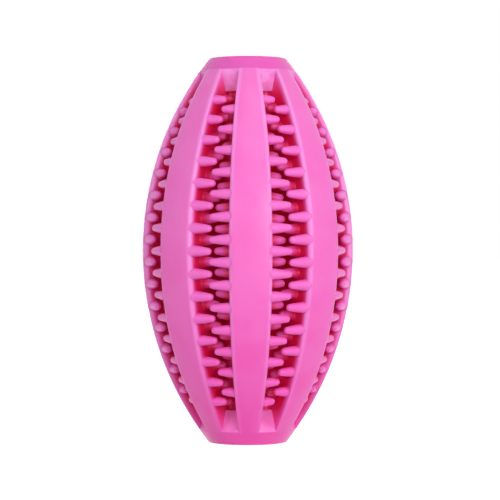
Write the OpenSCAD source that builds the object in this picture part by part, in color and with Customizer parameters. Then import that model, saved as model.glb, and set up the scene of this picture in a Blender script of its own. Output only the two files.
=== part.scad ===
// Dental chew toy of soft rubber: a barrel of ribs round a hollow core, between two end collars,
// with two rows of round-tipped nubs on both walls of every groove.
// It stands on its lower end face, with Z up its long axis. Rib 1 faces -Y, and the ribs count
// anticlockwise from there as seen from above. Left and right are those of someone outside who faces the rib.

/* [Toy] */
// Length from end face to end face
toy_length = 110; // [100:1:120]
// Width at the middle, across the faces of two opposite ribs
middle_width = 60.4; // [56:0.2:64]
// Diameter of each flat end face
end_face_d = 22.5; // [19:0.5:23]

/* [End collars] */
// Height of the plain band between an end face and the grooves
band_height = 3.8; // [3:0.1:5]
// Height of the plug below the band, which the grooves run out on
plug_height = 6.2; // [5:0.1:7.5]
// Diameter of a plug's inner end, round the core
plug_inner_d = 24; // [23:0.25:25]
// Diameter of the treat hole through each collar
treat_hole_d = 13; // [10:0.5:15]

/* [Core] */
// Width of the hollow through the core
hollow_width = 16; // [15.5:0.5:18]
// Thickness of the core's wall, which is the floor of the grooves
core_wall = 2; // [1:0.25:2.5]

/* [Ribs] */
// Number of ribs round the toy
rib_count = 8; // [7:1:9]
// Width of a rib's face at the middle of the toy
rib_width = 12.75; // [10:0.25:13.5]
// Height over which a rib's flat face rounds into the band
rib_blend_height = 7; // [5:0.5:9]

/* [Nubs] */
// Length of a nub where the groove is wide
nub_length = 5.7; // [4:0.1:6]
// Diameter of a nub's root at the middle of the toy
nub_root_d = 3.2; // [2.6:0.1:3.6]
// Diameter of a nub's root beside a plug
nub_end_root_d = 2.75; // [2.2:0.05:3.2]
// Diameter of a nub's round tip
nub_tip_d = 2; // [1.2:0.1:2]
// Distance from nub to nub along an outer row
nub_pitch = 6.3; // [6:0.05:8]
// Depth of an outer row below the rib's face
outer_row_depth = 2.3; // [2:0.1:3]
// Distance from an outer row down to the inner row
row_gap = 4.5; // [4.2:0.1:5]
// Longest reach of a nub, as a share of the groove's width there
nub_reach_share = 0.58; // [0.5:0.01:0.7]

/* [Hidden] */
// Segments of round faces, of the long arc of a rib's face and of a nub
$fn = 96;
face_fn = 360;
nub_fn = 24;
// Segments of the arc that rounds a nub's tip
tip_steps = 3;
// How far cutting shapes run past what they cut
overrun = 1;

middle_z = toy_length / 2;
middle_r = middle_width / 2;
end_face_r = end_face_d / 2;
hollow_r = hollow_width / 2;
core_r = hollow_r + core_wall;
plug_inner_r = plug_inner_d / 2;

// Heights above the middle at which the grooves and the core end
groove_end = middle_z - band_height;
hollow_end = groove_end - plug_height;

// A rib's face follows an arc through its middle and the rims of the two end faces.
// The arc's centre lies past the axis, by arc_offset.
arc_r = (pow(middle_r - end_face_r, 2) + pow(middle_z, 2)) / (2 * (middle_r - end_face_r));
arc_offset = arc_r - middle_r;

// Distance from the axis to a rib's face, at a height above the middle
function face_r(height) = sqrt(pow(arc_r, 2) - pow(height, 2)) - arc_offset;

band_r = face_r(groove_end);

// Half the angle that a rib and a groove take, seen along the axis
rib_half_angle = atan(rib_width / 2 / middle_r);
groove_half_angle = 180 / rib_count - rib_half_angle;

// The blend is a cone from the band out to the rib's edges
blend_foot = groove_end - rib_blend_height;
blend_foot_r = face_r(blend_foot) / cos(rib_half_angle);
blend_middle_r = band_r + (blend_foot_r - band_r) * groove_end / rib_blend_height;

// Nubs stand at whole steps or at half steps along a row, counted from the middle of the toy
nub_step_angle = nub_pitch / (arc_r - outer_row_depth) * 180 / PI;
last_step = ceil(asin(groove_end / arc_r) / nub_step_angle);
inner_row_depth = outer_row_depth + row_gap;

LEFT = -1;
RIGHT = 1;
SIDES = [LEFT, RIGHT];
rib_numbers = [1 : rib_count];

function side_name(side) = side == LEFT ? "left" : "right";
function rib_name(number) = str("rib_", number);
function nubs_name(number, side) = str(rib_name(number), "_", side_name(side), "_nubs");

// Where a nub's root lies: its distance from the axis along the wall, and its height above the middle
function nub_r(depth, step) =
    ((arc_r - depth) * cos(step * nub_step_angle) - arc_offset) / cos(rib_half_angle);
function nub_height(depth, step) = (arc_r - depth) * sin(step * nub_step_angle);

// Radius of a nub's root, which falls from the middle of the toy to the plugs
function root_r(height) =
    (nub_root_d - (nub_root_d - nub_end_root_d) * min(1, abs(height) / hollow_end)) / 2;

// Length of a nub, kept clear of the groove's other wall
function nub_reach(radius) =
    min(nub_length, nub_reach_share * 2 * radius * sin(groove_half_angle));

// Whether a nub's whole root lies on the wall, between the core and the plugs
function nub_fits(radius, height) =
    radius - root_r(height) > core_r
    && abs(height) + root_r(height) < hollow_end;

// The walls of a groove hold their nubs half a step apart, so that they mesh.
// The outer row starts on a whole step on one wall and on a half step on the other,
// and the two halves of the toy mirror each other in this.
function in_first_half(groove) = groove % rib_count < rib_count / 2;
function starts_whole(number, side) =
    side == RIGHT ? in_first_half(number) : !in_first_half(number - 1);

// Half of a collar's outline, from the core up to the end face
module collar_outline() {
    polygon([
        [treat_hole_d / 2, hollow_end],
        [plug_inner_r, hollow_end],
        [band_r, groove_end],
        [end_face_r, middle_z],
        [treat_hole_d / 2, middle_z]
    ]);
}

// The upper collar, about the middle of the toy
module collar() {
    rotate_extrude()
        collar_outline();
}

// The space that an upper collar takes up, with its treat hole filled
module collar_space() {
    rotate_extrude()
        polygon([
            [0, hollow_end],
            [plug_inner_r, hollow_end],
            [band_r, groove_end],
            [band_r, middle_z],
            [0, middle_z]
        ]);
}

// The space that the core takes up, with its hollow filled
module core_space() {
    cylinder(h = 2 * hollow_end, r = core_r, center = true);
}

// A wedge between the two walls of a rib along +X, from the axis outwards
module rib_wedge() {
    outer_r = middle_r + overrun;
    half_width = outer_r * tan(rib_half_angle);
    translate([0, 0, -groove_end])
        linear_extrude(2 * groove_end)
            polygon([[0, 0], [outer_r, -half_width], [outer_r, half_width]]);
}

// The round bar whose side is the long arc of a rib's face
module face_bar() {
    translate([-arc_offset, 0, 0])
        rotate([90, 0, 0])
            cylinder(h = 2 * rib_width, r = arc_r, center = true, $fn = face_fn);
}

// Two cones, base to base, that round a rib's ends into the bands
module end_blend() {
    rotate_extrude()
        polygon([
            [0, -groove_end],
            [band_r, -groove_end],
            [blend_middle_r, 0],
            [band_r, groove_end],
            [0, groove_end]
        ]);
}

// One rib along +X, about the middle of the toy
module rib() {
    difference() {
        intersection() {
            rib_wedge();
            face_bar();
            end_blend();
        }
        core_space();
        collar_space();
        mirror([0, 0, 1])
            collar_space();
    }
}

// Half of a nub's outline: flat root, tapering side and round tip
module nub_outline(radius, length) {
    tip_r = nub_tip_d / 2;
    polygon(concat(
        [[0, 0], [radius, 0]],
        [for (i = [0 : tip_steps])
            let (angle = 90 * i / tip_steps)
            [tip_r * cos(angle), length - tip_r + tip_r * sin(angle)]]
    ));
}

// One row of nubs on a wall in the XZ plane, growing towards +Y
module nub_row(depth, offset) {
    for (step = [offset - last_step : last_step]) {
        radius = nub_r(depth, step);
        height = nub_height(depth, step);
        if (nub_fits(radius, height))
            translate([radius, 0, height])
                rotate([-90, 0, 0])
                    rotate_extrude($fn = nub_fn)
                        nub_outline(root_r(height), nub_reach(radius));
    }
}

// Both rows of nubs on one wall of a rib along +X
module wall_nubs(side, whole) {
    mirror([0, side == LEFT ? 1 : 0, 0])
        rotate([0, 0, rib_half_angle]) {
            nub_row(outer_row_depth, whole ? 0 : 0.5);
            nub_row(inner_row_depth, whole ? 0.5 : 0);
        }
}

// Turns a rib along +X to its own place, with rib 1 facing -Y
module at_rib(number) {
    translate([0, 0, middle_z])
        rotate([0, 0, (number - 1) * 360 / rib_count - 90])
            children();
}

module top_collar() {
    color("orchid")
        translate([0, 0, middle_z])
            collar();
}

module bottom_collar() {
    color("orchid")
        translate([0, 0, middle_z])
            mirror([0, 0, 1])
                collar();
}

module core() {
    color("mediumvioletred")
        translate([0, 0, middle_z])
            difference() {
                core_space();
                cylinder(h = 2 * (hollow_end + overrun), r = hollow_r, center = true);
            }
}

module numbered_rib(number) {
    color("hotpink")
        at_rib(number)
            rib();
}

module rib_nubs(number, side) {
    color("deeppink")
        at_rib(number)
            wall_nubs(side, starts_whole(number, side));
}

top_collar();
bottom_collar();
core();
for (number = rib_numbers)
    numbered_rib(number);
for (number = rib_numbers, side = SIDES)
    rib_nubs(number, side);
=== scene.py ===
"""Looks of a rubber chew toy: satin pink rubber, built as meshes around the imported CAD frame."""

import functools
import math
import random

import bmesh
import bpy
from mathutils import Matrix, Vector


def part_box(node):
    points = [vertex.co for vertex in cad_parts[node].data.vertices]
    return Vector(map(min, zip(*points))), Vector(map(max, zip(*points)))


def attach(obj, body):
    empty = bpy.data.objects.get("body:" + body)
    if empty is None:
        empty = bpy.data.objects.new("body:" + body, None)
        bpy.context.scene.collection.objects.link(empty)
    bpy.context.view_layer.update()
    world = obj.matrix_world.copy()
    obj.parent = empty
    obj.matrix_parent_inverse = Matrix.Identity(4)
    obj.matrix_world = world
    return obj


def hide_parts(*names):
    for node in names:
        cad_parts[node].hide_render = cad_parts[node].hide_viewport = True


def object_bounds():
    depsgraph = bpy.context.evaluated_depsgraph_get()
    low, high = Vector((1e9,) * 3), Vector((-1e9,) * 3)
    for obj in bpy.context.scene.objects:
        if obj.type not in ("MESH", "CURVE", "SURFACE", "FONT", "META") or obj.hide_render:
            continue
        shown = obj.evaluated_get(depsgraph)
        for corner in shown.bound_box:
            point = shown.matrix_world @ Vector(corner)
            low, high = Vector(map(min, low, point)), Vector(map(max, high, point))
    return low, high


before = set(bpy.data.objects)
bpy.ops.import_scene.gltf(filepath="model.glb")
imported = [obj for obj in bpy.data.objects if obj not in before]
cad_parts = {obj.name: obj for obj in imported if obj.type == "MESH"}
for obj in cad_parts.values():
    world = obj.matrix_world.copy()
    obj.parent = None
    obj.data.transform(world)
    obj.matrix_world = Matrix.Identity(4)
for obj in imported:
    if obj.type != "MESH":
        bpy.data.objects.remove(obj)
cad_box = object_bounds()

MM = 0.001

# Main sizes, read off the frame. Heights are counted from the middle of the toy.
cad_low, cad_high = cad_box
middle_z = (cad_low.z + cad_high.z) / 2
half_length = (cad_high.z - cad_low.z) / 2
middle_r = (cad_high.x - cad_low.x) / 2
collar_low, collar_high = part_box("top_collar")
band_r = (collar_high.x - collar_low.x) / 2
core_low, core_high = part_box("core")
core_r = (core_high.x - core_low.x) / 2
hollow_end = core_high.z - middle_z
rib_low, rib_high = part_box("rib_1")
groove_end = rib_high.z - middle_z
rib_half_angle = math.atan((rib_high.x - rib_low.x) / 2 / middle_r)

# The long arc of a rib's face, through its middle and the groove's end
arc_r = ((middle_r - band_r) ** 2 + groove_end ** 2) / (2 * (middle_r - band_r))
arc_offset = arc_r - middle_r

# Sizes that part.scad shares
rib_count = 8
treat_hole_r = 6.5 * MM
hollow_r = 8 * MM
plug_inner_r = 12 * MM
nub_length = 5.7 * MM
nub_root_r = 1.6 * MM
nub_end_root_r = 1.375 * MM
nub_tip_r = 1 * MM
nub_pitch = 6.3 * MM
nub_reach_share = 0.58
outer_row_depth = 2.3 * MM
row_gap = 4.5 * MM

# What follows from them
inner_row_depth = outer_row_depth + row_gap
nub_step_angle = nub_pitch / (arc_r - outer_row_depth)
groove_half_angle = math.pi / rib_count - rib_half_angle

# Roundings of the moulding, which the CAD leaves out
rib_edge_r = 1.5 * MM
rib_end_edge_r = 0.3 * MM
rim_edge_r = 0.25 * MM
groove_edge_r = 0.5 * MM
groove_floor_r = 0.8 * MM
nub_root_fillet = 0.35 * MM

# A rib's face falls away towards its edges, and turns into the round band near its ends
shoulder_drop = 0.42 * MM
rounding_start = 38 * MM

LEFT = -1
RIGHT = 1


def face_r(height):
    """Distance from the axis to the middle of a rib's face."""
    return math.sqrt(arc_r ** 2 - height ** 2) - arc_offset


def smooth_step(low, high, value):
    """0 up to low, 1 from high on, and a smooth rise between them."""
    share = min(1, max(0, (value - low) / (high - low)))
    return share * share * (3 - 2 * share)


def mix(first, second, share):
    """The value at a share of the way from the first to the second."""
    return first + (second - first) * share


def new_piece(name, mesh, node):
    """Turns a bmesh into a piece that stands for a CAD node."""
    sharp_angle = math.radians(40)
    bmesh.ops.recalc_face_normals(mesh, faces=mesh.faces)
    data = bpy.data.meshes.new(name)
    mesh.to_mesh(data)
    mesh.free()
    data.shade_smooth()
    data.set_sharp_from_angle(angle=sharp_angle)
    piece = bpy.data.objects.new(name, data)
    bpy.context.scene.collection.objects.link(piece)
    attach(piece, "root")
    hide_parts(node)
    return piece


def add_loft(mesh, rings, closed=False):
    """Joins each ring of points to the next, and closes the row into a loop or caps its ends."""
    rows = [[mesh.verts.new(point) for point in ring] for ring in rings]
    pairs = list(zip(rows, rows[1:]))
    if closed:
        pairs.append((rows[-1], rows[0]))
    for one, other in pairs:
        for i in range(len(one)):
            mesh.faces.new((one[i - 1], one[i], other[i], other[i - 1]))
    if not closed:
        mesh.faces.new(rows[0])
        mesh.faces.new(rows[-1])


def rounded_outline(corners, steps=5):
    """A closed outline through corners given as (x, y, radius of the rounding)."""
    points = []
    for i, (x, y, radius) in enumerate(corners):
        corner = Vector((x, y))
        if radius == 0:
            points.append(corner)
            continue
        back = (Vector(corners[i - 1][:2]) - corner).normalized()
        ahead = (Vector(corners[(i + 1) % len(corners)][:2]) - corner).normalized()
        half_angle = back.angle(ahead) / 2
        centre = corner + (back + ahead).normalized() * radius / math.sin(half_angle)
        reach = radius / math.tan(half_angle)
        start = (corner + back * reach - centre).normalized()
        end = (corner + ahead * reach - centre).normalized()
        points.extend(centre + start.slerp(end, step / steps) * radius for step in range(steps + 1))
    return points


def polar(distance, angle):
    """A flat vector of this length, at an angle from +X."""
    return Vector((math.cos(angle), math.sin(angle))) * distance


# Collars and core

def build_turned(node, outline):
    """A piece turned on the toy's axis from a closed outline of (distance from the axis, height)."""
    turns = 192
    rings = []
    for i in range(turns):
        angle = 2 * math.pi * i / turns
        rings.append([(*polar(r, angle), middle_z + height) for r, height in outline])
    mesh = bmesh.new()
    add_loft(mesh, rings, closed=True)
    return new_piece(node + "_skin", mesh, node)


def collar_outline():
    """Outline of the upper collar, as (distance from the axis, height)."""
    band_steps = 8
    band = []
    for i in range(1, band_steps):
        height = mix(half_length, groove_end, i / band_steps)
        band.append((face_r(height), height, 0))
    return rounded_outline([
        (treat_hole_r, half_length, groove_edge_r),
        (face_r(half_length), half_length, rim_edge_r),
        *band,
        (band_r, groove_end, groove_edge_r),
        (plug_inner_r, hollow_end, groove_edge_r),
        (treat_hole_r, hollow_end, groove_edge_r),
    ])


def build_collar(node, direction):
    """A collar, with direction 1 for the upper one and -1 for the lower one."""
    return build_turned(node, [(r, direction * height) for r, height in collar_outline()])


def build_core():
    """The tube inside the ribs, with its ends sunk a little into the collars."""
    steps = 40
    end = hollow_end + groove_edge_r
    heights = [mix(-end, end, i / steps) for i in range(steps + 1)]
    outer = [(core_r, height) for height in heights]
    inner = [(hollow_r, height) for height in reversed(heights)]
    return build_turned("core", outer + inner)


# Ribs

def edge_r(height):
    """Radius of the rounding along a rib's edge."""
    return mix(rib_edge_r, rib_end_edge_r, smooth_step(0, groove_end, abs(height)))


def face_point(height, aside):
    """A point of a rib's face, some way aside from its middle, and how far the face has turned there."""
    middle = face_r(height)
    half_width = middle * math.tan(rib_half_angle)
    roundness = smooth_step(rounding_start, groove_end, abs(height))
    round_x = math.sqrt(middle ** 2 - aside ** 2)
    drop = mix(shoulder_drop * (aside / half_width) ** 2, middle - round_x, roundness)
    slope = mix(2 * shoulder_drop * aside / half_width ** 2, aside / round_x, roundness)
    return Vector((middle - drop, aside)), math.atan(slope)


@functools.cache
def rib_edge(height):
    """Where the rounding of a rib's edge leaves the face, found by halving, and its centre."""
    halvings = 30
    radius = edge_r(height)
    low = 0
    high = face_r(height) * math.tan(rib_half_angle)
    for _ in range(halvings):
        aside = (low + high) / 2
        point, turned = face_point(height, aside)
        centre = point - polar(radius, turned)
        room = centre.x * math.sin(rib_half_angle) - centre.y * math.cos(rib_half_angle)
        if room > radius:
            low = aside
        else:
            high = aside
    return aside, centre


def wall_reach(height):
    """How far from the axis a rib's wall is flat."""
    _, centre = rib_edge(height)
    return centre.x * math.cos(rib_half_angle) + centre.y * math.sin(rib_half_angle)


def floor_rounding(steps):
    """Points of the rounding between the core and a rib's wall, from a point inside the core."""
    inside_core = (core_r + hollow_r) / 2
    reach = core_r + groove_floor_r
    angle = rib_half_angle + math.asin(groove_floor_r / reach)
    centre = polar(reach, angle)
    points = [polar(inside_core, angle)]
    for i in range(steps + 1):
        turn = mix(angle + math.pi, rib_half_angle + 1.5 * math.pi, i / steps)
        points.append(centre + polar(groove_floor_r, turn))
    return points


def rib_section(height):
    """Section of a rib along +X at a height, all the way round."""
    floor_steps = 4
    wall_steps = 6
    edge_steps = 8
    face_steps = 8
    edge_aside, centre = rib_edge(height)
    radius = edge_r(height)
    wall_angle = rib_half_angle + math.pi / 2
    _, face_angle = face_point(height, edge_aside)

    half = floor_rounding(floor_steps)
    start = half[-1].length
    for i in range(1, wall_steps):
        half.append(polar(mix(start, wall_reach(height), i / wall_steps), rib_half_angle))
    for i in range(edge_steps + 1):
        half.append(centre + polar(radius, mix(wall_angle, face_angle, i / edge_steps)))
    for i in range(1, face_steps + 1):
        point, _ = face_point(height, mix(edge_aside, 0, i / face_steps))
        half.append(point)
    return half + [Vector((x, -y)) for x, y in reversed(half[:-1])]


def rib_turn(number):
    """Turns a rib along +X, about the middle of the toy, to its own place. Rib 1 faces -Y."""
    angle = (number - 1) * 2 * math.pi / rib_count - math.pi / 2
    return Matrix.Translation((0, 0, middle_z)) @ Matrix.Rotation(angle, 4, "Z")


def rib_heights():
    """Heights of a rib's sections, which end where the rounding of the groove's end starts."""
    steps = 96
    band_slope = math.asin(groove_end / arc_r)
    plug_slope = math.atan((band_r - plug_inner_r) / (groove_end - hollow_end))
    seam = groove_end + groove_edge_r * math.tan((band_slope + plug_slope) / 2) * math.cos(band_slope)
    return [mix(-seam, seam, i / steps) for i in range(steps + 1)]


def build_rib(number):
    """A rib, lofted through its sections from its lower end to its upper one."""
    turn = rib_turn(number)
    rings = []
    for height in rib_heights():
        rings.append([turn @ Vector((x, y, height)) for x, y in rib_section(height)])
    mesh = bmesh.new()
    add_loft(mesh, rings)
    node = f"rib_{number}"
    return new_piece(node + "_skin", mesh, node)


# Nubs

def nub_place(depth, step):
    """Distance of a nub from the axis along its wall, and its height."""
    angle = step * nub_step_angle
    distance = ((arc_r - depth) * math.cos(angle) - arc_offset) / math.cos(rib_half_angle)
    return distance, (arc_r - depth) * math.sin(angle)


def root_r(height):
    """Radius of a nub's root, which falls from the middle of the toy to the plugs."""
    return mix(nub_root_r, nub_end_root_r, min(1, abs(height) / hollow_end))


def nub_fits(distance, height):
    """Whether a nub's whole root lies on the wall, between the core and the plugs."""
    return distance - root_r(height) > core_r and abs(height) + root_r(height) < hollow_end


def row_steps(whole):
    """Steps along a row to past the toy's ends, counted from its middle, at whole or at half steps."""
    last = math.ceil(half_length / nub_pitch)
    first = 0 if whole else 0.5
    return [first + i for i in range(-last, last)]


def starts_whole(number, side):
    """Whether the outer row of a wall stands at whole steps. The two halves of the toy are mirrored."""
    if side == RIGHT:
        return number % rib_count < rib_count / 2
    return (number - 1) % rib_count >= rib_count / 2


def nub_outline(root, length):
    """Outline of a nub from inside the wall to its tip, as (distance from the wall, radius)."""
    sunk_depth = 0.7 * MM
    bulge = 0.05 * MM
    tip_flat_r = 0.06 * nub_tip_r
    fillet_steps = 4
    side_steps = 5
    tip_steps = 5
    fillet = nub_root_fillet
    slope = math.atan((root - nub_tip_r) / (length - nub_tip_r))
    tip_centre = length - nub_tip_r
    side_end = (tip_centre + nub_tip_r * math.sin(slope), nub_tip_r * math.cos(slope))

    points = [(-sunk_depth, nub_tip_r)]
    for i in range(fillet_steps + 1):
        angle = math.pi / 2 * i / fillet_steps
        points.append((fillet * (1 - math.cos(angle)), root + fillet * (1 - math.sin(angle))))
    for i in range(1, side_steps):
        share = i / side_steps
        radius = mix(root, side_end[1], share) + bulge * math.sin(math.pi * share)
        points.append((mix(fillet, side_end[0], share), radius))
    for i in range(tip_steps):
        angle = mix(slope, math.pi / 2, i / tip_steps)
        points.append((tip_centre + nub_tip_r * math.sin(angle), nub_tip_r * math.cos(angle)))
    points.append((length, tip_flat_r))
    return points


def wall_drop(distance, height):
    """How far a rib's surface lies below the plane of its wall, at a distance from the axis."""
    steepest_share = 0.95
    radius = edge_r(height)
    past = min(steepest_share * radius, max(0, distance - wall_reach(height)))
    return radius - math.sqrt(radius ** 2 - past ** 2)


def nub_rings(distance, height, lean):
    """Rings of a nub on the right wall of a rib along +X. Its root follows the rib's rounded edge."""
    turns = 24
    root_height = 1.5 * MM
    outwards = Vector((math.cos(rib_half_angle), math.sin(rib_half_angle), 0))
    across = Vector((-math.sin(rib_half_angle), math.cos(rib_half_angle), 0))
    up = Vector((0, 0, 1))
    length = min(nub_length, nub_reach_share * 2 * distance * math.sin(groove_half_angle))
    root = outwards * distance + up * height
    rings = []
    for along, radius in nub_outline(root_r(height), length):
        centre = root + (outwards * lean[0] + up * lean[1]) * max(0, along)
        follow = min(1, max(0, 1 - along / root_height))
        ring = []
        for i in range(turns):
            angle = 2 * math.pi * i / turns
            sideways = radius * math.cos(angle)
            drop = wall_drop(distance + sideways, height) * follow
            ring.append(
                centre
                + outwards * sideways
                + up * radius * math.sin(angle)
                + across * (along - drop)
            )
        rings.append(ring)
    return rings


def build_nubs(number, side, chance):
    """Both rows of nubs on one wall of a rib, each nub leaning a little its own way."""
    largest_lean = 0.03
    mirror = Matrix.Scale(side, 4, (0, 1, 0))
    turn = rib_turn(number) @ mirror
    whole = starts_whole(number, side)
    mesh = bmesh.new()
    for depth, row_whole in ((outer_row_depth, whole), (inner_row_depth, not whole)):
        for step in row_steps(row_whole):
            distance, height = nub_place(depth, step)
            if not nub_fits(distance, height):
                continue
            lean = [chance.uniform(-largest_lean, largest_lean) for _ in range(2)]
            rings = nub_rings(distance, height, lean)
            add_loft(mesh, [[turn @ point for point in ring] for ring in rings])
    node = f"rib_{number}_{'left' if side == LEFT else 'right'}_nubs"
    return new_piece(node + "_skin", mesh, node)


# Material. In its shades, a full value says where a shade is 1, and a clear value where it is 0.

class Nodes:
    """Short ways to add shader nodes to one tree."""

    def __init__(self, tree):
        self.tree = tree
        tree.nodes.clear()

    def add(self, kind, inputs=(), **settings):
        node = self.tree.nodes.new(kind)
        for name, value in settings.items():
            setattr(node, name, value)
        for name, value in dict(inputs).items():
            self.give(node.inputs[name], value)
        return node

    def give(self, socket, value):
        """Links a socket to another one, or sets it to a plain value."""
        if isinstance(value, bpy.types.NodeSocket):
            self.tree.links.new(value, socket)
        else:
            socket.default_value = value

    def math(self, operation, first, second=0.0):
        node = self.add("ShaderNodeMath", {0: first, 1: second}, operation=operation)
        return node.outputs[0]

    def noise(self, place, scale, detail):
        inputs = {"Vector": place, "Scale": scale, "Detail": detail}
        return self.add("ShaderNodeTexNoise", inputs).outputs["Fac"]

    def ramp(self, value, low, high, low_out, high_out):
        """Maps low..high to low_out..high_out, smoothly."""
        inputs = {"Value": value, 1: low, 2: high, 3: low_out, 4: high_out}
        node = self.add("ShaderNodeMapRange", inputs, interpolation_type="SMOOTHSTEP")
        return node.outputs[0]

    def mix_colour(self, share, first, second):
        node = self.add("ShaderNodeMix", {0: share, 6: first, 7: second}, data_type="RGBA")
        return node.outputs[2]


def depth_in_groove(nodes, distance, height):
    """Depth of a point below the long arc of the ribs' faces."""
    under_root = nodes.math("SUBTRACT", arc_r ** 2, nodes.math("POWER", height, 2.0))
    face = nodes.math("SUBTRACT", nodes.math("SQRT", under_root), arc_offset)
    return nodes.math("SUBTRACT", face, distance)


def way_off_wall(nodes, distance, angle):
    """Distance of a point from the wall of the nearest rib, and less than 0 inside the rib."""
    rib_pitch = 2 * math.pi / rib_count
    off_rib = nodes.math("PINGPONG", angle, rib_pitch / 2)
    off_wall = nodes.math("SUBTRACT", off_rib, rib_half_angle)
    return nodes.math("MULTIPLY", distance, nodes.math("SINE", off_wall))


class RibPlaces:
    """Where a shaded point lies among the ribs.

    It holds the point's distance from the axis, its height above the middle, its depth below the
    long arc of the faces, and its way off the nearest wall.
    """

    def __init__(self, nodes, place):
        least_depth = 0.1 * MM
        split = nodes.add("ShaderNodeSeparateXYZ", {0: place}).outputs
        x_squared = nodes.math("POWER", split["X"], 2.0)
        y_squared = nodes.math("POWER", split["Y"], 2.0)
        angle = nodes.math("ARCTAN2", split["Y"], split["X"])
        self.distance = nodes.math("SQRT", nodes.math("ADD", x_squared, y_squared))
        self.height = nodes.math("SUBTRACT", split["Z"], middle_z)
        depth = depth_in_groove(nodes, self.distance, self.height)
        self.depth = nodes.math("MAXIMUM", depth, least_depth)
        self.off_wall = way_off_wall(nodes, self.distance, angle)


def in_groove(nodes, places):
    """1 in the grooves, less beside the plugs that they run out on, and 0 in the hollow."""
    fade_start = hollow_end - 3 * MM
    share_at_ends = 0.3
    skin = 0.5 * MM
    off_middle = nodes.math("ABSOLUTE", places.height)
    between_plugs = nodes.ramp(off_middle, fade_start, groove_end, 1.0, share_at_ends)
    outside = nodes.ramp(places.distance, hollow_r + skin, core_r - skin, 0.0, 1.0)
    return nodes.math("MULTIPLY", between_plugs, outside)


def wall_shade(nodes, places):
    """Painted shade: 1 deep down on the walls of the grooves and the roots of the nubs, where shade
    falls, and 0 on the faces and tips.

    The way that it reaches along a nub is a share of the nub's depth.
    """
    clear_depth = 0.2 * MM
    full_depth = 2.8 * MM
    full_share = 0.12
    clear_share = 0.6
    deep = nodes.ramp(places.depth, clear_depth, full_depth, 0.0, 1.0)
    off_share = nodes.math("DIVIDE", places.off_wall, places.depth)
    near_wall = nodes.ramp(off_share, full_share, clear_share, 1.0, 0.0)
    return nodes.math("MULTIPLY", nodes.math("MULTIPLY", deep, near_wall), in_groove(nodes, places))


def floor_shade(nodes, places):
    """1 on the floors of the grooves, where a red glow is painted for the light that goes to and fro in
    them.
    """
    full_r = core_r + 0.5 * MM
    clear_r = core_r + 3 * MM
    near_floor = nodes.ramp(places.distance, full_r, clear_r, 1.0, 0.0)
    return nodes.math("MULTIPLY", near_floor, in_groove(nodes, places))


def painted_edge_highlight(nodes, places):
    """Painted highlight: 1 along the ribs' edges, where light catches their roundings, less in the lower
    half, and 0 elsewhere.
    """
    full_way = 0.5 * MM
    clear_way = 1.5 * MM
    share_at_foot = 0.2
    inwards = nodes.math("MULTIPLY", places.off_wall, -1.0)
    way = nodes.math("MAXIMUM", places.depth, inwards)
    edge = nodes.ramp(way, full_way, clear_way, 1.0, 0.0)
    return nodes.math("MULTIPLY", edge, nodes.ramp(places.height, -half_length, 0.0, share_at_foot, 1.0))


def plug_shade(nodes, place, places):
    """How far the plugs are painted pale: in patches, most on the upper plug, and not on the bands."""
    full_end = groove_end - 0.3 * MM
    clear_end = groove_end + 0.2 * MM
    patch_scale = 400.0
    share_off_patches = 0.6
    lower_plug_share = 0.45
    off_middle = nodes.math("ABSOLUTE", places.height)
    plug = nodes.ramp(off_middle, full_end, clear_end, 1.0, 0.0)
    patches = nodes.ramp(nodes.noise(place, patch_scale, 2.0), 0.35, 0.6, share_off_patches, 1.0)
    upwards = nodes.ramp(places.height, -hollow_end, hollow_end, lower_plug_share, 1.0)
    return nodes.math("MULTIPLY", plug, nodes.math("MULTIPLY", patches, upwards))


def painted_top_sheen_and_mottling(nodes, place, places):
    """Share of the paler pink: a painted sheen of the light from above, more in the upper half than at
    the lower end, with faint mottling.
    """
    full_height = 0.3 * half_length
    mottling_scale = 90.0
    mottling_share = 0.3
    # The rise of the paler pink towards the top is painted sheen of the light from above; the mottling is
    # the rubber's own tone.
    lift = nodes.ramp(places.height, -half_length, full_height, 0.0, 1.0 - mottling_share)
    mottling = nodes.ramp(nodes.noise(place, mottling_scale, 3.0), 0.35, 0.65, 0.0, mottling_share)
    return nodes.math("ADD", lift, mottling)


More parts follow.
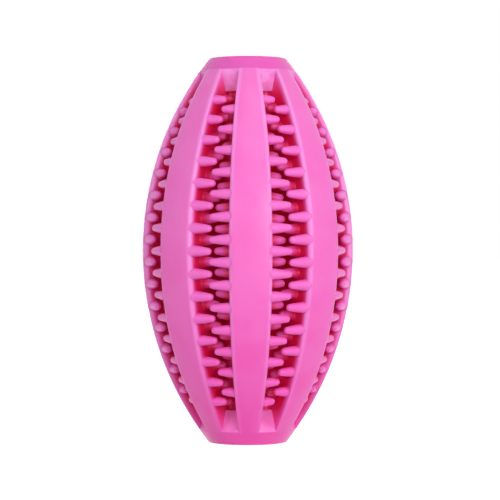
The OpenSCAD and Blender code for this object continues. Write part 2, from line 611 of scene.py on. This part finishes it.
def satin_rubber(name, sheen_and_mottle_pink, groove_shade_share=0, edge_highlight_share=0, plug_share=0, roughness=0.32):
    """Pink rubber with a fine grain, mottled from pink to the paler pink, which also gives the upper half
    a painted sheen.

    The groove share says how much painted shade and painted floor glow it takes on in the grooves, the
    edge share how much painted highlight along the ribs' edges, and the plug share how pale the plugs are
    painted.
    Noise scales count features a metre.
    """
    pink = (0.95, 0.095, 0.51, 1)
    # Painted shade for the deep walls of the grooves and the roots of the nubs
    groove_shade_pink = (0.8, 0.008, 0.1, 1)
    # Painted red glow for the floors of the grooves
    floor_glow_pink = (1, 0.04, 0.25, 1)
    # Pale pink for the painted highlight along the ribs' edges, and for the pale plugs
    highlight_and_plug_pink = (0.97, 0.34, 0.8, 1)
    smudge_scale = 140.0
    smudge_strength = 0.04
    grain_scale = 1500.0
    grain_height = 0.04
    ripple_scale = 320.0
    relief_depth = 0.05 * MM
    light_reach = 2.5 * MM

    material = bpy.data.materials.new(name)
    material.use_nodes = True
    nodes = Nodes(material.node_tree)
    place = nodes.add("ShaderNodeTexCoord").outputs["Object"]
    places = RibPlaces(nodes, place)

    # Mottled towards the paler pink, with a painted sheen that grows towards the top
    colour = nodes.mix_colour(painted_top_sheen_and_mottling(nodes, place, places), pink, sheen_and_mottle_pink)
    if groove_shade_share > 0:
        # Painted shade deep in the grooves
        shade = nodes.math("MULTIPLY", wall_shade(nodes, places), groove_shade_share)
        colour = nodes.mix_colour(shade, colour, groove_shade_pink)
        # Painted red glow on the floors of the grooves
        shade = nodes.math("MULTIPLY", floor_shade(nodes, places), groove_shade_share)
        colour = nodes.mix_colour(shade, colour, floor_glow_pink)
    if edge_highlight_share > 0:
        # Painted highlight along the edges
        shade = nodes.math("MULTIPLY", painted_edge_highlight(nodes, places), edge_highlight_share)
        colour = nodes.mix_colour(shade, colour, highlight_and_plug_pink)
    if plug_share > 0:
        shade = nodes.math("MULTIPLY", plug_shade(nodes, place, places), plug_share)
        colour = nodes.mix_colour(shade, colour, highlight_and_plug_pink)

    smudges = nodes.noise(place, smudge_scale, 1.0)
    sheen = nodes.ramp(smudges, 0.0, 1.0, roughness - smudge_strength, roughness + smudge_strength)

    grain = nodes.noise(place, grain_scale, 2.0)
    ripple = nodes.noise(place, ripple_scale, 1.0)
    relief = nodes.math("ADD", nodes.math("MULTIPLY", grain, grain_height), ripple)
    bump_inputs = {"Strength": 0.15, "Distance": relief_depth, "Height": relief}
    bump = nodes.add("ShaderNodeBump", bump_inputs).outputs["Normal"]

    shader = nodes.add("ShaderNodeBsdfPrincipled", {
        "Base Color": colour,
        "Roughness": sheen,
        "Normal": bump,
        "IOR": 1.5,
        "Specular IOR Level": 0.4,
        "Subsurface Weight": 0.25,
        "Subsurface Radius": (1.0, 0.12, 0.3),
        "Subsurface Scale": light_reach,
    })
    output = nodes.add("ShaderNodeOutputMaterial")
    nodes.give(output.inputs["Surface"], shader.outputs["BSDF"])
    return material


# Stage

def rays_that_see_the_backdrop(nodes):
    """1 for camera, glossy and transmission rays, and 0 for the rest."""
    path = nodes.add("ShaderNodeLightPath").outputs
    seen = nodes.math("MAXIMUM", path["Is Camera Ray"], path["Is Glossy Ray"])
    return nodes.math("MAXIMUM", seen, path["Is Transmission Ray"])


def build_world(ambient):
    """A white backdrop, which lights the toy at the ambient level."""
    world = bpy.data.worlds.new("studio")
    bpy.context.scene.world = world
    world.use_nodes = True
    nodes = Nodes(world.node_tree)
    strength = nodes.ramp(rays_that_see_the_backdrop(nodes), 0.0, 1.0, ambient, 1.0)
    background = nodes.add("ShaderNodeBackground", {"Color": (1, 1, 1, 1), "Strength": strength})
    output = nodes.add("ShaderNodeOutputWorld")
    nodes.give(output.inputs["Surface"], background.outputs[0])


def build_floor():
    """A pale floor, which the camera sees as white but for the toy's soft shadow."""
    half_size = 4
    gap = 0.05 * MM
    grey = (0.75, 0.75, 0.75, 1)
    white_lift = 0.88
    data = bpy.data.meshes.new("floor")
    corners = []
    for x, y in ((-1, -1), (1, -1), (1, 1), (-1, 1)):
        corners.append((x * half_size, y * half_size, cad_low.z - gap))
    data.from_pydata(corners, [], [(0, 1, 2, 3)])
    floor = bpy.data.objects.new("floor", data)
    bpy.context.scene.collection.objects.link(floor)

    material = bpy.data.materials.new("floor_white")
    material.use_nodes = True
    nodes = Nodes(material.node_tree)
    matt = nodes.add("ShaderNodeBsdfDiffuse", {"Color": grey}).outputs[0]
    lift = nodes.math("MULTIPLY", rays_that_see_the_backdrop(nodes), white_lift)
    glow = nodes.add("ShaderNodeEmission", {"Strength": lift}).outputs[0]
    both = nodes.add("ShaderNodeAddShader", {0: matt, 1: glow})
    output = nodes.add("ShaderNodeOutputMaterial")
    nodes.give(output.inputs["Surface"], both.outputs[0])
    data.materials.append(material)


def face_from(thing, target, azimuth, elevation, distance):
    """Puts a lamp or camera at a distance from its target, facing it.

    Both angles are in degrees: the azimuth from the front of the toy to the right, the elevation upwards.
    """
    around = math.radians(azimuth)
    above = math.radians(elevation)
    back = Vector((
        math.sin(around) * math.cos(above),
        -math.cos(around) * math.cos(above),
        math.sin(above),
    ))
    thing.location = target + back * distance
    thing.rotation_euler = (-back).to_track_quat("-Z", "Y").to_euler()


def view_of_lamp(across, up):
    """Light from a lamp with these half sizes at a distance of 1, as a multiple of its brightness."""
    slant_across = math.sqrt(1 + across ** 2)
    slant_up = math.sqrt(1 + up ** 2)
    beside = across / slant_across * math.atan(up / slant_across)
    above = up / slant_up * math.atan(across / slant_up)
    return 2 * (beside + above)


def add_softbox(name, azimuth, elevation, level, width, height):
    """A lamp that faces the toy, bright enough to light a surface that faces it at the given level."""
    distance = 1.0
    lamp = bpy.data.lights.new(name, "AREA")
    lamp.shape = "RECTANGLE"
    lamp.size = width
    lamp.size_y = height
    seen = view_of_lamp(width / 2 / distance, height / 2 / distance)
    lamp.energy = level * math.pi / seen * math.pi * width * height
    softbox = bpy.data.objects.new(name, lamp)
    bpy.context.scene.collection.objects.link(softbox)
    face_from(softbox, Vector((0, 0, middle_z)), azimuth, elevation, distance)


def place_camera():
    """A camera in front of rib 1, a little to its left and a little above the middle."""
    distance = 0.58
    picture_width = 144.0 * MM
    aim = Vector((0.7 * MM, 0, middle_z + 0.1 * MM))
    data = bpy.data.cameras.new("camera")
    data.lens = data.sensor_width * distance / picture_width
    data.clip_end = 20
    camera = bpy.data.objects.new("camera", data)
    bpy.context.scene.collection.objects.link(camera)
    face_from(camera, aim, azimuth=-1.8, elevation=0.45, distance=distance)
    bpy.context.scene.camera = camera


def add_lamps():
    """A wide lamp a little to the right of the camera, and weaker ones all round."""
    add_softbox("front_softbox", azimuth=24, elevation=11, level=0.37, width=0.4, height=0.45)
    add_softbox("front_left_softbox", azimuth=-22, elevation=16, level=0.1, width=0.12, height=0.2)
    add_softbox("high_softbox", azimuth=12, elevation=52, level=0.12, width=0.4, height=0.4)
    add_softbox("right_softbox", azimuth=68, elevation=12, level=0.1, width=0.15, height=0.25)
    add_softbox("left_softbox", azimuth=-64, elevation=14, level=0.08, width=0.15, height=0.25)
    add_softbox("back_softbox", azimuth=180, elevation=13, level=0.35, width=0.5, height=0.5)


def build_toy():
    """All pieces of the toy, each with its own kind of the rubber."""
    chance = random.Random(8)
    # Paler pinks of each rubber, for its mottling and for the painted sheen on its upper half
    face_pink = (0.95, 0.187, 0.625, 1)
    band_pink = (0.84, 0.115, 0.53, 1)
    nub_pink = (0.96, 0.15, 0.61, 1)
    collar_rubber = satin_rubber("collar_rubber", band_pink, plug_share=1)
    rib_rubber = satin_rubber("rib_rubber", face_pink, groove_shade_share=1, edge_highlight_share=0.65)
    core_rubber = satin_rubber("core_rubber", face_pink, groove_shade_share=1, roughness=0.9)
    nub_rubber = satin_rubber("nub_rubber", nub_pink, groove_shade_share=0.9, edge_highlight_share=0.15)
    build_collar("top_collar", 1).data.materials.append(collar_rubber)
    build_collar("bottom_collar", -1).data.materials.append(collar_rubber)
    build_core().data.materials.append(core_rubber)
    for number in range(1, rib_count + 1):
        build_rib(number).data.materials.append(rib_rubber)
        for side in (LEFT, RIGHT):
            build_nubs(number, side, chance).data.materials.append(nub_rubber)


place_camera()
build_world(ambient=0.34)
build_floor()
add_lamps()
bpy.context.scene.view_settings.view_transform = "Standard"
build_toy()
